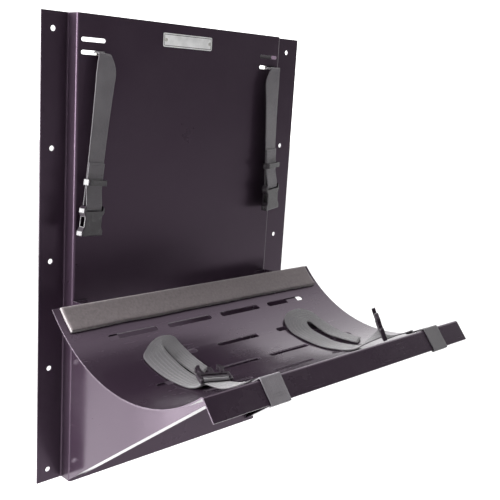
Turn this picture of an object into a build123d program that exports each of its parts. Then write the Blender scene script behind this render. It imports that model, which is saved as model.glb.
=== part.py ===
from build123d import *

import math
import os

# Wall bracket that stores a breathing-apparatus air pack.
# Frame: the wall is the plane Y = 0 and the bracket stands out towards -Y, Z is up, X is to the
# right. The origin is the centre of the wall-bolt pattern on the wall plane. Millimetres.

INCH = 25.4

# Sheet metal
SHEET = 2.0
BEND_RADIUS = 3.5

# Back panel: a raised centre pan with a bolting flange on each side
PANEL_LEFT, PANEL_RIGHT = -274.0, 283.0
PANEL_BOTTOM, PANEL_TOP = -376.0, 381.0
PAN_LEFT, PAN_RIGHT = -228.6, 207.5
PAN_RISE = 28.0
BOLT_X = 10 * INCH
BOLT_PITCH = 7 * INCH
BOLT_HOLE_RADIUS = 4.25
PAN_FRONT = -PAN_RISE
PAN_BACK = -PAN_RISE + SHEET

# Strap slots in the pan, one pair above the other on each side
PAN_SLOT_LENGTH = 44.0
PAN_SLOT_HEIGHT = 6.4
PAN_SLOT_UPPER_Z = 343.0
PAN_SLOT_LOWER_Z = 324.0

# Cradle tray: a trough about a horizontal axis, with a lip bent outwards along its front
TRAY_WIDTH = 576.0
TRAY_RADIUS = 250.0
TRAY_CENTRE_Y = -251.0
TRAY_CENTRE_Z = 112.0
TRAY_REAR_ANGLE = -47.5
TRAY_FRONT_ANGLE = 40.0
LIP_WIDTH = 36.0
LIP_BEND_RADIUS = 4.0

# Slots through the tray, in rows across it, every other row staggered
TRAY_SLOT_LENGTH = 94.0
TRAY_SLOT_HEIGHT = 10.0
FULL_ROW_X = (-174.0, -58.0, 58.0, 174.0)
STAGGERED_ROW_X = (-140.0, 0.0, 140.0)
SLOT_ROWS = ((-32.0, FULL_ROW_X), (-17.2, STAGGERED_ROW_X), (-2.4, FULL_ROW_X), (12.4, STAGGERED_ROW_X))
LIP_SLOT_ANGLE = 35.0
LIP_SLOT_HEIGHT = 7.0

# Gussets
GUSSET_BOTTOM_Z = -371.0
GUSSET_TOP_Z = -62.0
GUSSET_FLANGE = 25.0
SADDLE_END_ANGLE = 20.0
GUSSETS = {
    "left": {"wall": -PAN_LEFT, "tip_angle": 37.0, "slope_flange": 400.0, "mirrored": True},
    "right": {"wall": PAN_RIGHT, "tip_angle": 29.0, "slope_flange": 360.0, "mirrored": False},
}
SCREW_Z = (-105.0, -220.0, -335.0)
SCREW_RADIUS = 3.0
SCREW_HOLE_RADIUS = 3.3
SCREW_HEAD_RADIUS = 6.0
SCREW_HEAD_HEIGHT = 3.6
NUT_RADIUS = 5.8
NUT_HEIGHT = 5.0
SCREW_INSET = SHEET + GUSSET_FLANGE / 2
SCREW_X = (PAN_LEFT + SCREW_INSET, PAN_RIGHT - SCREW_INSET)

# Pad and nameplate
PAD_WIDTH = 552.0
PAD_THICKNESS = 6.0
PAD_FRONT_ANGLE = -37.2
PLATE_LENGTH = 105.0
PLATE_HEIGHT = 22.0
PLATE_THICKNESS = 0.8
PLATE_X = -15.0
PLATE_Z = 354.6
RIVET_SPACING = 94.0
RIVET_RADIUS = 1.6
RIVET_HEAD_RADIUS = 2.8

# Webbing
WEB_WIDTH = 38.0
WEB_THICKNESS = 1.8
HINGE_GAP = 0.4

# Hanging straps: a pin holds each one behind the pan
PIN_RADIUS = 3.0
PIN_LENGTH = 26.0
PIN_Y = -18.5
HANGER_Y = -42.0
HANGER_Z = 322.6
STRAP_FORWARD_LEAN = 0.3
RETURN_LENGTH = 70.0
GATHERED_WIDTH = 22.0
ANCHOR_TO_HANGER = HANGER_Y + WEB_THICKNESS / 2 + HINGE_GAP
KEEPER_HEIGHT = 9.0
KEEPER_WALL = 1.8
KEEPER_WINDOW = (41.0, 10.5)
KEEPER_ABOVE_BAR = 40.0

# Tray straps
TAIL_SKEW = 30.0
TAIL_CLEARANCE = 1.2
TAIL_HINGE_GAP = 3.0
TRAY_STRAP_CLEARANCE = 3.6

# Side-release buckles
BUCKLE_WIDTH = 50.0
BAR_RADIUS = 2.0
BAR_PLAY = 0.3
LOOP_RADIUS = BAR_RADIUS + BAR_PLAY + WEB_THICKNESS
FEMALE_LENGTH = 48.0
FEMALE_THICKNESS = 12.0
FEMALE_TOP = 4.5
WAIST_DEPTH = 4.5
WAIST_SHARES = (0.24, 0.365, 0.70, 0.84)
LOOP_ROOM = 0.5
SOCKET_WIDTH = 40.0
SOCKET_HEIGHT = 7.4
SOCKET_DEPTH = 36.0
WINDOW_LENGTH = 15.0
WEB_WINDOW = 41.0
MALE_BODY_LENGTH = 20.0
MALE_THICKNESS = 7.0
PRONG_PIVOT_X = 15.5
PRONG_PIVOT_Z = 22.0
PRONG_ROOT_RADIUS = 3.0
PRONG_LENGTH = 22.0
PRONG_THICKNESS = 6.0
PRONG_PLAY = 0.35
BARB_LENGTH = 12.0
BARB_REACH = 6.6
GUIDE_WIDTH = 6.0
GUIDE_LENGTH = 17.0
CORNER_RADIUS = 3.0
RIM_RADIUS = 1.5
WEB_WINDOW_HEIGHT = 12.0
GRIP_WINDOW_HEIGHT = 3.6
GRIP_WINDOW_Z = 11.5

SIDES = {
    "left": {
        "slot_x": -200.0, "gather_x": -190.0, "pin_x": -177.0,
        "strap_x": -182.5, "yaw": 18.0, "lean": 6.45, "length": 235.0,
        "anchor_tail": 0.0, "anchor_tail_x": 0.0, "lip_x": -172.0,
        "male_at": (-166.0, -305.0, -120.5), "male_yaw": -24.0, "male_pitch": -84.0,
        "strap_band": ((-191.0, -153.0), (-399.0, -316.0)),
        "tail_x": (-190.0, -112.0), "tail_y": (-262.0, -133.0), "stub_front": -296.0,
    },
    "right": {
        "slot_x": 178.5, "gather_x": 188.0, "pin_x": 191.0,
        "strap_x": 178.0, "yaw": 17.0, "lean": -2.6, "length": 217.0,
        "anchor_tail": 26.0, "anchor_tail_x": 172.0, "lip_x": 206.0,
        "male_at": (163.0, -351.0, -100.0), "male_yaw": 46.0, "male_pitch": -23.0,
        "strap_band": ((170.0, 225.0), (-399.0, -362.0)),
        "tail_x": (112.0, 206.0), "tail_y": (-306.0, -150.0), "stub_front": -334.0,
    },
}


def along_x(section, x_low, x_high):
    """Extrude a section drawn in (Y, Z) from x_low to x_high."""
    return extrude(Plane.YZ.offset(x_low) * section, amount=x_high - x_low)


def facing_front(x, z, y_back):
    """Plane at y_back that faces -Y, with its own x along X and its own y along Z."""
    return Plane(origin=(x, y_back, z), x_dir=(1, 0, 0), z_dir=(0, -1, 0))


def rod_y(radius, x, z, y_front, y_back):
    """Round bar along Y."""
    return extrude(facing_front(x, z, y_back) * Circle(radius), amount=y_back - y_front)


def tray_point(angle, radius=TRAY_RADIUS):
    """(Y, Z) at an angle about the tray's axis: 0 is its lowest line, positive is to the front."""
    turn = math.radians(angle)
    return (TRAY_CENTRE_Y - radius * math.sin(turn), TRAY_CENTRE_Z - radius * math.cos(turn))


def tray_plane(x, angle, radius=TRAY_RADIUS):
    """Plane on the tray's surface that faces away from its axis."""
    turn = math.radians(angle)
    y, z = tray_point(angle, radius)
    return Plane(origin=(x, y, z), x_dir=(1, 0, 0), z_dir=(0, -math.sin(turn), -math.cos(turn)))


def tray_band(start, end, inner, outer):
    """Section in (Y, Z) of a band that follows the trough between two angles."""
    middle = (start + end) / 2
    inner_arc = ThreePointArc(tray_point(start, inner), tray_point(middle, inner), tray_point(end, inner))
    outer_arc = ThreePointArc(tray_point(end, outer), tray_point(middle, outer), tray_point(start, outer))
    ends = Line(inner_arc @ 1, outer_arc @ 0) + Line(outer_arc @ 1, inner_arc @ 0)
    return make_face(Curve() + [inner_arc, outer_arc] + ends)


def back_panel():
    left_x, right_x = PAN_LEFT + SHEET / 2, PAN_RIGHT - SHEET / 2
    back_y = -SHEET / 2
    web_y = -PAN_RISE + SHEET / 2
    path = FilletPolyline(
        (PANEL_LEFT, back_y), (left_x, back_y), (left_x, web_y),
        (right_x, web_y), (right_x, back_y), (PANEL_RIGHT, back_y), radius=BEND_RADIUS,
    )
    panel = extrude(Plane.XY.offset(PANEL_BOTTOM) * trace(path, SHEET), amount=PANEL_TOP - PANEL_BOTTOM)
    for x in SCREW_X:
        for z in SCREW_Z:
            panel -= rod_y(SCREW_HOLE_RADIUS, x, z, PAN_FRONT - 1, PAN_BACK + 1)
    for side in (-1, 1):
        for row in range(-2, 3):
            panel -= rod_y(BOLT_HOLE_RADIUS, side * BOLT_X, row * BOLT_PITCH, -SHEET - 1, 1)
        rivet_x = PLATE_X + side * RIVET_SPACING / 2
        panel -= rod_y(RIVET_RADIUS, rivet_x, PLATE_Z, PAN_FRONT - 1, PAN_BACK + 1)
    for side in SIDES.values():
        for z in (PAN_SLOT_UPPER_Z, PAN_SLOT_LOWER_Z):
            slot = facing_front(side["slot_x"], z, PAN_BACK + 1) * SlotOverall(PAN_SLOT_LENGTH, PAN_SLOT_HEIGHT)
            panel -= extrude(slot, amount=SHEET + 2)
    return panel


def cradle_tray():
    outer = TRAY_RADIUS + SHEET
    turn = math.radians(TRAY_FRONT_ANGLE)
    out_y, out_z = -math.sin(turn), -math.cos(turn)
    fore_y, fore_z = -math.cos(turn), math.sin(turn)
    corner = tray_point(TRAY_FRONT_ANGLE)
    lip_end = (corner[0] + out_y * LIP_WIDTH, corner[1] + out_z * LIP_WIDTH)
    lip_back = (lip_end[0] - fore_y * SHEET, lip_end[1] - fore_z * SHEET)
    back_angle = TRAY_FRONT_ANGLE - math.degrees(SHEET / outer)
    middle = (TRAY_REAR_ANGLE + TRAY_FRONT_ANGLE) / 2
    rear = TRAY_REAR_ANGLE
    inner_arc = ThreePointArc(tray_point(rear), tray_point(middle), corner)
    outer_arc = ThreePointArc(tray_point(back_angle, outer), tray_point(middle, outer), tray_point(rear, outer))
    lip = Polyline(corner, lip_end, lip_back, outer_arc @ 0)
    section = make_face(Curve() + [inner_arc, outer_arc] + lip + Line(outer_arc @ 1, inner_arc @ 0))
    tray = along_x(section, -TRAY_WIDTH / 2, TRAY_WIDTH / 2)
    bend_edges = tray.edges().filter_by(Axis.X)
    inner_bend = bend_edges.sort_by_distance((0, *corner))[0]
    tray = fillet(inner_bend, LIP_BEND_RADIUS)
    outer_bend = tray.edges().filter_by(Axis.X).sort_by_distance((0, *tray_point(back_angle, outer)))[0]
    tray = fillet(outer_bend, LIP_BEND_RADIUS - SHEET)
    for angle, row in SLOT_ROWS:
        for x in row:
            slot = tray_plane(x, angle) * SlotOverall(TRAY_SLOT_LENGTH, TRAY_SLOT_HEIGHT)
            tray -= extrude(slot, amount=SHEET + 2, both=True)
    for side in SIDES.values():
        slot = tray_plane(side["lip_x"], LIP_SLOT_ANGLE) * SlotOverall(PAN_SLOT_LENGTH, LIP_SLOT_HEIGHT)
        tray -= extrude(slot, amount=SHEET + 2, both=True)
    return tray


def gusset(shape):
    """Side plate under the tray, with flanges to the pan, to the tray and along its sloping edge.

    It is drawn for the right-hand side, with its outer face at the pan's wall.
    """
    outer = TRAY_RADIUS + SHEET
    tip = shape["tip_angle"]
    tip_y, tip_z = tray_point(tip, outer)
    rear_y = PAN_FRONT
    slope = math.atan2(tip_z - GUSSET_BOTTOM_Z, rear_y - tip_y)
    top_angle = TRAY_REAR_ANGLE + 0.5
    top_y, top_z = tray_point(top_angle, outer)
    arc = ThreePointArc((top_y, top_z), tray_point((top_angle + tip) / 2, outer), tray_point(tip, outer))
    rest = Polyline(arc @ 1, (rear_y, GUSSET_BOTTOM_Z), (rear_y, GUSSET_TOP_Z), arc @ 0)
    wall = shape["wall"]
    plate = along_x(make_face(Curve() + [arc] + rest), wall - SHEET, wall)

    inner_x = wall - SHEET - GUSSET_FLANGE
    rear_flange = make_face(Polyline(
        (rear_y, GUSSET_BOTTOM_Z), (rear_y, GUSSET_TOP_Z), (rear_y - SHEET, GUSSET_TOP_Z),
        (rear_y - SHEET, GUSSET_BOTTOM_Z + SHEET), close=True,
    ))
    saddle = tray_band(top_angle, SADDLE_END_ANGLE, outer, outer + SHEET)
    length = shape["slope_flange"]
    run_y, run_z = -length * math.cos(slope), length * math.sin(slope)
    rise = SHEET / math.cos(slope)
    slope_flange = make_face(Polyline(
        (rear_y, GUSSET_BOTTOM_Z), (rear_y + run_y, GUSSET_BOTTOM_Z + run_z),
        (rear_y + run_y, GUSSET_BOTTOM_Z + run_z + rise), (rear_y, GUSSET_BOTTOM_Z + rise), close=True,
    ))
    body = plate
    for section in (rear_flange, saddle, slope_flange):
        body += along_x(section, inner_x, wall - SHEET)
    for z in SCREW_Z:
        body -= rod_y(SCREW_HOLE_RADIUS, wall - SCREW_INSET, z, rear_y - SHEET - 1, rear_y + 1)
    return mirror(body, Plane.YZ) if shape["mirrored"] else body


def gusset_screws():
    """Pan-head screws, one solid each."""
    head_y = PAN_FRONT - SHEET
    screws = []
    for x in SCREW_X:
        for z in SCREW_Z:
            shank = rod_y(SCREW_RADIUS, x, z, head_y, PAN_BACK + NUT_HEIGHT + 2)
            head = rod_y(SCREW_HEAD_RADIUS, x, z, head_y - SCREW_HEAD_HEIGHT, head_y)
            head = fillet(head.faces().sort_by(Axis.Y)[0].edges(), SCREW_HEAD_HEIGHT * 0.6)
            recess = facing_front(x, z, head_y - SCREW_HEAD_HEIGHT + 2)
            cross = Rectangle(6, 1.2) + Rectangle(1.2, 6)
            screws.append(shank + head - extrude(recess * cross, amount=3))
    return Compound(children=screws)


def gusset_nuts():
    nuts = []
    for x in SCREW_X:
        for z in SCREW_Z:
            plane = facing_front(x, z, PAN_BACK + NUT_HEIGHT)
            ring = RegularPolygon(NUT_RADIUS, 6) - Circle(SCREW_RADIUS)
            nuts.append(extrude(plane * ring, amount=NUT_HEIGHT))
    return Compound(children=nuts)


def rear_pad():
    section = tray_band(TRAY_REAR_ANGLE + 0.3, PAD_FRONT_ANGLE, TRAY_RADIUS - PAD_THICKNESS, TRAY_RADIUS)
    return along_x(section, -PAD_WIDTH / 2, PAD_WIDTH / 2)


def nameplate():
    outline = RectangleRounded(PLATE_LENGTH, PLATE_HEIGHT, 2.5)
    plate = extrude(facing_front(PLATE_X, PLATE_Z, PAN_FRONT) * outline, amount=PLATE_THICKNESS)
    for side in (-1, 1):
        x = PLATE_X + side * RIVET_SPACING / 2
        plate -= rod_y(RIVET_RADIUS, x, PLATE_Z, PAN_FRONT - 2, PAN_FRONT + 1)
    return plate


def nameplate_rivets():
    rivets = []
    face_y = PAN_FRONT - PLATE_THICKNESS
    for side in (-1, 1):
        x = PLATE_X + side * RIVET_SPACING / 2
        head = rod_y(RIVET_HEAD_RADIUS, x, PLATE_Z, face_y - 1.2, face_y)
        head = fillet(head.faces().sort_by(Axis.Y)[0].edges(), 1.0)
        tail = rod_y(RIVET_HEAD_RADIUS * 0.85, x, PLATE_Z, PAN_BACK, PAN_BACK + 1.5)
        rivets.append(rod_y(RIVET_RADIUS, x, PLATE_Z, face_y, PAN_BACK) + head + tail)
    return Compound(children=rivets)


def retaining_pin(side):
    rod = Cylinder(PIN_RADIUS, PIN_LENGTH, rotation=(0, 90, 0))
    rod = chamfer(rod.edges().filter_by(GeomType.CIRCLE), 0.6)
    return Pos(side["pin_x"], PIN_Y, PAN_SLOT_LOWER_Z) * rod


def strap_anchor(side):
    """Sewn webbing loop round the retaining pin, with its end gathered through the lower slot."""
    outer = PIN_RADIUS + BAR_PLAY + WEB_THICKNESS
    half = GATHERED_WIDTH / 2
    ring = Location((PIN_Y, PAN_SLOT_LOWER_Z)) * (Circle(outer) - Circle(outer - WEB_THICKNESS))
    anchor = along_x(ring, side["pin_x"] - half, side["pin_x"] + half)
    back_y = PIN_Y - outer + WEB_THICKNESS / 2
    if side["anchor_tail"]:
        tail_z = PAN_SLOT_LOWER_Z + side["anchor_tail"] / 2
        tail = Pos(back_y, tail_z) * Rectangle(WEB_THICKNESS, side["anchor_tail"])
        anchor += along_x(tail, side["anchor_tail_x"] - WEB_WIDTH / 2, side["anchor_tail_x"] + WEB_WIDTH / 2)
    slot_x, pin_x = side["gather_x"], side["pin_x"]
    tongue = make_face(Polyline(
        (pin_x - half, back_y), (slot_x - half, PAN_BACK + 0.5), (slot_x - half, ANCHOR_TO_HANGER),
        (slot_x + half, ANCHOR_TO_HANGER), (slot_x + half, PAN_BACK + 0.5), (pin_x + half, back_y), close=True,
    ))
    under = Plane.XY.offset(PAN_SLOT_LOWER_Z - WEB_THICKNESS / 2)
    return anchor + extrude(under * tongue, amount=WEB_THICKNESS)


def strap_place(side, share):
    """Place of the hanging strap at a share of its length: local +Z runs up it, local X across it.

    The strap is straight from the slot to the buckle and does most of its twist near the slot.
    """
    hanger = Location((side["strap_x"], HANGER_Y, HANGER_Z), (-STRAP_FORWARD_LEAN, side["lean"], 0))
    twist = side["yaw"] * (1 - (1 - share) ** 3)
    return hanger * Location((0, 0, -side["length"] * share), (0, 0, twist))


def bar_place(side):
    """Axis of the female buckle's bar: local X runs along the bar."""
    return strap_place(side, 1.0) * Location((0, -LOOP_RADIUS + WEB_THICKNESS / 2, 0))


def web_loop():
    """Webbing round a buckle's bar, drawn along local X."""
    ring = Circle(LOOP_RADIUS) - Circle(LOOP_RADIUS - WEB_THICKNESS)
    return extrude(Plane.YZ.offset(-WEB_WIDTH / 2) * ring, amount=WEB_WIDTH)


def hanging_strap(side):
    """Twisting strap from the pan's slot to the buckle's bar, and the short return sewn behind it."""
    steps = 8
    sections = [strap_place(side, i / steps) * Rectangle(WEB_WIDTH, WEB_THICKNESS) for i in range(steps + 1)]
    strap = loft(sections)
    top_roll = Cylinder(WEB_THICKNESS / 2, WEB_WIDTH, rotation=(0, 90, 0))
    strap += strap_place(side, 0) * top_roll
    mid_radius = LOOP_RADIUS - WEB_THICKNESS / 2
    flap = Pos(0, -mid_radius, RETURN_LENGTH / 2) * Box(WEB_WIDTH, WEB_THICKNESS, RETURN_LENGTH)
    strap += bar_place(side) * (web_loop() + flap)
    return strap


def strap_keeper(side):
    """Square ring that holds the strap's two layers together and slides along them."""
    width, depth = KEEPER_WINDOW
    ring = RectangleRounded(width + 2 * KEEPER_WALL, depth + 2 * KEEPER_WALL, CORNER_RADIUS)
    ring -= RectangleRounded(width, depth, CORNER_RADIUS - KEEPER_WALL)
    solid = extrude(Pos(0, 0, KEEPER_ABOVE_BAR - KEEPER_HEIGHT / 2) * ring, amount=KEEPER_HEIGHT)
    return bar_place(side) * solid


def female_buckle(side):
    """Socket half: bar at the top, open windows in both sides, mouth at the bottom."""
    half = BUCKLE_WIDTH / 2
    waist = half - WAIST_DEPTH
    top, mouth = FEMALE_TOP, FEMALE_TOP - FEMALE_LENGTH
    shoulder_low, waist_high, waist_low, hip_high = (top - FEMALE_LENGTH * share for share in WAIST_SHARES)
    right_edge = [
        (half - 5, top), (half, top - 5), (half, shoulder_low), (waist, waist_high),
        (waist, waist_low), (half, hip_high), (half, mouth),
    ]
    left_edge = [(-x, z) for x, z in reversed(right_edge)]
    outline = make_face(Polyline(*right_edge, *left_edge, close=True))
    outline = fillet(outline.vertices(), 1.8)
    front = Plane(origin=(0, FEMALE_THICKNESS / 2, 0), x_dir=(1, 0, 0), z_dir=(0, -1, 0))
    body = extrude(front * outline, amount=FEMALE_THICKNESS)
    body = fillet(body.faces().filter_by(Axis.Y).edges(), 1.6)

    web_slot = Box(WEB_WINDOW, FEMALE_THICKNESS * 2, WEB_WINDOW_HEIGHT)
    body -= Pos(0, 0, WEB_WINDOW_HEIGHT / 2 - LOOP_RADIUS - LOOP_ROOM) * web_slot
    body += Rotation(0, 90, 0) * Cylinder(BAR_RADIUS, WEB_WINDOW + 2)

    socket_z = mouth + SOCKET_DEPTH / 2
    body -= Pos(0, 0, socket_z - 1) * Box(SOCKET_WIDTH, SOCKET_HEIGHT, SOCKET_DEPTH + 2)
    side_windows = Box(BUCKLE_WIDTH * 1.2, SOCKET_HEIGHT, WINDOW_LENGTH)
    body -= Pos(0, 0, (waist_high + waist_low) / 2) * side_windows
    return bar_place(side) * body


def lip_webbing(side):
    """Loop of webbing round the front lip, up through the slot behind it and back over the bend."""
    gap = 0.6
    inner = TRAY_RADIUS - gap - WEB_THICKNESS
    turn = math.radians(TRAY_FRONT_ANGLE)
    out = Vector(-math.sin(turn), -math.cos(turn))
    fore = Vector(-math.cos(turn), math.sin(turn))
    corner = Vector(*tray_point(TRAY_FRONT_ANGLE))
    above = gap + WEB_THICKNESS / 2
    front_top = corner + fore * above - out * above
    front_low = corner + fore * above + out * (LIP_WIDTH + above)
    back_low = corner - fore * (SHEET + above) + out * (LIP_WIDTH + above)
    back_top = corner - fore * (SHEET + above) + out * (SHEET + above + 4)
    slot_below = Vector(*tray_point(LIP_SLOT_ANGLE, TRAY_RADIUS + SHEET + above + 2))
    slot_above = Vector(*tray_point(LIP_SLOT_ANGLE, TRAY_RADIUS - above))
    path = FilletPolyline(
        (slot_above.X, slot_above.Y), (slot_below.X, slot_below.Y), (back_top.X, back_top.Y),
        (back_low.X, back_low.Y), (front_low.X, front_low.Y), (front_top.X, front_top.Y), radius=1.2,
    )
    section = trace(path, WEB_THICKNESS)
    section += tray_band(LIP_SLOT_ANGLE - 0.4, TRAY_FRONT_ANGLE + 0.35, inner, inner + WEB_THICKNESS)
    x = side["lip_x"]
    return along_x(section, x - WEB_WIDTH / 2, x + WEB_WIDTH / 2)


def trough_layer(outline, clearance, thickness):
    """Sheet of webbing that lies along the trough, cut to an outline drawn in (X, Y)."""
    outer = TRAY_RADIUS - clearance
    ring = Circle(outer) - Circle(outer - thickness)
    shell = along_x(Pos(TRAY_CENTRE_Y, TRAY_CENTRE_Z) * ring, -TRAY_WIDTH / 2, TRAY_WIDTH / 2)
    prism = extrude(Plane.XY.offset(-TRAY_RADIUS) * outline, amount=TRAY_RADIUS)
    return shell & prism


def male_place(side):
    """Axis of the male buckle's bar: local X runs along the bar, local +Z towards the prong tips."""
    return Location(side["male_at"], (0, 0, side["male_yaw"])) * Rotation(side["male_pitch"], 0, 0)


def tray_strap(side):
    """Webbing from the lip down the trough to the male buckle's bar."""
    (x_low, x_high), (y_front, y_back) = side["strap_band"]
    outline = Pos((x_low + x_high) / 2, (y_front + y_back) / 2) * Rectangle(x_high - x_low, y_back - y_front)
    return trough_layer(outline, TRAY_STRAP_CLEARANCE, WEB_THICKNESS)


def male_loop(side):
    """Webbing loop round the male buckle's bar."""
    return male_place(side) * web_loop()


def strap_tail(side):
    """Loose end of the tray strap, folded back beside itself on the trough."""
    x_low, x_high = side["tail_x"]
    y_front, y_back = side["tail_y"]
    outline = make_face(Polyline(
        (x_low, y_front), (x_low + WEB_WIDTH, y_front), (x_high, y_front + TAIL_SKEW), (x_high, y_back),
        (x_low + TAIL_SKEW, y_back), (x_low, y_back - TAIL_SKEW), close=True,
    ))
    return trough_layer(fillet(outline.vertices(), 4), TAIL_CLEARANCE, 2 * WEB_THICKNESS + 1.0)


def tail_stub(side):
    """Webbing between the buckle's adjuster and the loose tail."""
    x_low = side["tail_x"][0]
    y_front, y_back = side["stub_front"], side["tail_y"][0] - TAIL_HINGE_GAP
    outline = Pos(x_low + WEB_WIDTH / 2, (y_front + y_back) / 2) * Rectangle(WEB_WIDTH, y_back - y_front)
    return trough_layer(outline, TAIL_CLEARANCE, WEB_THICKNESS)


def male_buckle(side):
    """Plug half without its prongs: two webbing windows, cross bars and the centre guide."""
    low, high = -BAR_RADIUS - RIM_RADIUS, MALE_BODY_LENGTH
    through = MALE_THICKNESS * 2
    front = Plane(origin=(0, MALE_THICKNESS / 2, 0), x_dir=(1, 0, 0), z_dir=(0, -1, 0))
    outline = Pos(0, (low + high) / 2) * RectangleRounded(BUCKLE_WIDTH, high - low, CORNER_RADIUS)
    body = extrude(front * outline, amount=MALE_THICKNESS)
    body = fillet(body.faces().filter_by(Axis.Y).edges(), RIM_RADIUS)
    window_z = LOOP_RADIUS + LOOP_ROOM - WEB_WINDOW_HEIGHT / 2
    body -= Pos(0, 0, window_z) * Box(WEB_WINDOW, through, WEB_WINDOW_HEIGHT)
    body += Rotation(0, 90, 0) * Cylinder(BAR_RADIUS, WEB_WINDOW + 2)
    body -= Pos(0, 0, GRIP_WINDOW_Z) * Box(WEB_WINDOW, through, GRIP_WINDOW_HEIGHT)
    guide = Box(GUIDE_WIDTH, PRONG_THICKNESS, GUIDE_LENGTH + 2)
    body += Pos(0, 0, high + GUIDE_LENGTH / 2 - 1) * fillet(guide.edges().filter_by(Axis.Z), 1.2)
    for end in (-1, 1):
        seat = Cylinder(PRONG_ROOT_RADIUS + PRONG_PLAY, through, rotation=(90, 0, 0))
        body -= Pos(end * PRONG_PIVOT_X, 0, PRONG_PIVOT_Z) * seat
    return male_place(side) * body


def prong(side, end):
    """Springy arm with a barbed tip; it bends inwards about its root."""
    base_x, base_z = PRONG_PIVOT_X, PRONG_PIVOT_Z
    tip_z = base_z + PRONG_LENGTH
    barb_z = tip_z - BARB_LENGTH
    root, stem = PRONG_THICKNESS * 0.4, PRONG_THICKNESS / 6
    points = [
        (base_x - root, base_z), (base_x + root, base_z), (base_x + root + stem, barb_z - 2),
        (base_x + BARB_REACH, barb_z), (base_x + BARB_REACH, barb_z + 4), (base_x + stem, tip_z),
        (base_x - root, tip_z), (base_x - stem, barb_z),
    ]
    outline = make_face(Polyline(*points, close=True))
    outline = fillet(outline.vertices().sort_by(Axis.Y)[2:], stem)
    front = Plane(origin=(0, PRONG_THICKNESS / 2, 0), x_dir=(1, 0, 0), z_dir=(0, -1, 0))
    arm = extrude(front * outline, amount=PRONG_THICKNESS)
    arm += Pos(base_x, 0, base_z) * Cylinder(PRONG_ROOT_RADIUS, PRONG_THICKNESS, rotation=(90, 0, 0))
    if end < 0:
        arm = mirror(arm, Plane.YZ)
    return male_place(side) * arm


def all_parts():
    parts = {
        "back_panel": back_panel(),
        "cradle_tray": cradle_tray(),
        "left_gusset": gusset(GUSSETS["left"]),
        "right_gusset": gusset(GUSSETS["right"]),
        "gusset_screws": gusset_screws(),
        "gusset_nuts": gusset_nuts(),
        "rear_pad": rear_pad(),
        "nameplate": nameplate(),
        "nameplate_rivets": nameplate_rivets(),
    }
    for name, side in SIDES.items():
        parts[f"{name}_retaining_pin"] = retaining_pin(side)
        parts[f"{name}_strap_anchor"] = strap_anchor(side)
        parts[f"{name}_hanging_strap"] = hanging_strap(side)
        parts[f"{name}_strap_keeper"] = strap_keeper(side)
        parts[f"{name}_female_buckle"] = female_buckle(side)
        parts[f"{name}_lip_webbing"] = lip_webbing(side)
        parts[f"{name}_tray_strap"] = tray_strap(side)
        parts[f"{name}_male_loop"] = male_loop(side)
        parts[f"{name}_male_buckle"] = male_buckle(side)
        parts[f"{name}_prong_inner"] = prong(side, -1)
        parts[f"{name}_prong_outer"] = prong(side, 1)
        parts[f"{name}_tail_stub"] = tail_stub(side)
        parts[f"{name}_strap_tail"] = strap_tail(side)
    return parts


def main():
    os.makedirs("parts", exist_ok=True)
    for name, shape in all_parts().items():
        export_step(shape, f"parts/{name}.step")
        print(name, len(shape.solids()), "solids", round(shape.volume, 1), "mm3")


main()
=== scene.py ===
import math

import bmesh
import bpy
from mathutils import Matrix, Vector, noise


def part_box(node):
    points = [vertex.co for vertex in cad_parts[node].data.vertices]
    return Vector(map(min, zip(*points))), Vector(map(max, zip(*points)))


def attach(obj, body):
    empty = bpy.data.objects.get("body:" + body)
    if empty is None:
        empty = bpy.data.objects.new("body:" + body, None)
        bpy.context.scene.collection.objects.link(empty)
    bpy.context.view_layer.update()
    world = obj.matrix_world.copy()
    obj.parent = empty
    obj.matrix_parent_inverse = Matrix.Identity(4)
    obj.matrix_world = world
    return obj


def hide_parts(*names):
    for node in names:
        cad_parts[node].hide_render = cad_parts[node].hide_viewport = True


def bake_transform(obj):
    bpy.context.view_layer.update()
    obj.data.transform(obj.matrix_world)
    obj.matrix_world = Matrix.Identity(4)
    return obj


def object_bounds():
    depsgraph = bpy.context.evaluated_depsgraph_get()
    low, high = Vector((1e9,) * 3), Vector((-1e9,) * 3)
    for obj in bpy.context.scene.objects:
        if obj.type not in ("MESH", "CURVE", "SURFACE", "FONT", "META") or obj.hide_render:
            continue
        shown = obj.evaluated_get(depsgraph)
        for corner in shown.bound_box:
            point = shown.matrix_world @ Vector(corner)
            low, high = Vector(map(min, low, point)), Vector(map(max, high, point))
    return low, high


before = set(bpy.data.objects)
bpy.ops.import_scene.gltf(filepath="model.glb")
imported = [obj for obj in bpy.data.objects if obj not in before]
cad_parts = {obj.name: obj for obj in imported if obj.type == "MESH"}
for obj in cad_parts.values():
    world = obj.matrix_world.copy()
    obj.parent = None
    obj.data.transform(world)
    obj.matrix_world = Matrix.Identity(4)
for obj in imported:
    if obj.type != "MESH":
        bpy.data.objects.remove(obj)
cad_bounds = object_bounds()

# The looks of a wall bracket for an air pack. Metres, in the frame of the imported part: X to the right,
# the wall is the plane Y = 0 and the bracket stands out towards -Y, Z is up.

MM = 0.001

# Webbing, and the bars and pins that it goes round
WEB_WIDTH = 38 * MM
WEB_THICKNESS = 1.8 * MM
LOOP_MID_RADIUS = 3.2 * MM
PIN_MID_RADIUS = 4.2 * MM
PIN_Y = -18.5 * MM
PIN_Z = 324 * MM

# Hanging straps: the hinge line in front of the slot, and the strap's lean towards the front
HANGER_Y = -42 * MM
HANGER_Z = 322.6 * MM
FORWARD_LEAN = 0.3
RETURN_LENGTH = 70 * MM

# Where the webbing comes through the pan's slot it is gathered, and it spreads out again below
GATHERED_WIDTH = 22 * MM
SPREAD_LENGTH = 30 * MM

# The return flap is sewn on in a box with a cross, this far above the buckle's bar
RETURN_STITCHES = (50 * MM, 67 * MM)
RETURN_STITCH_INSET = 4.5 * MM

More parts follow.
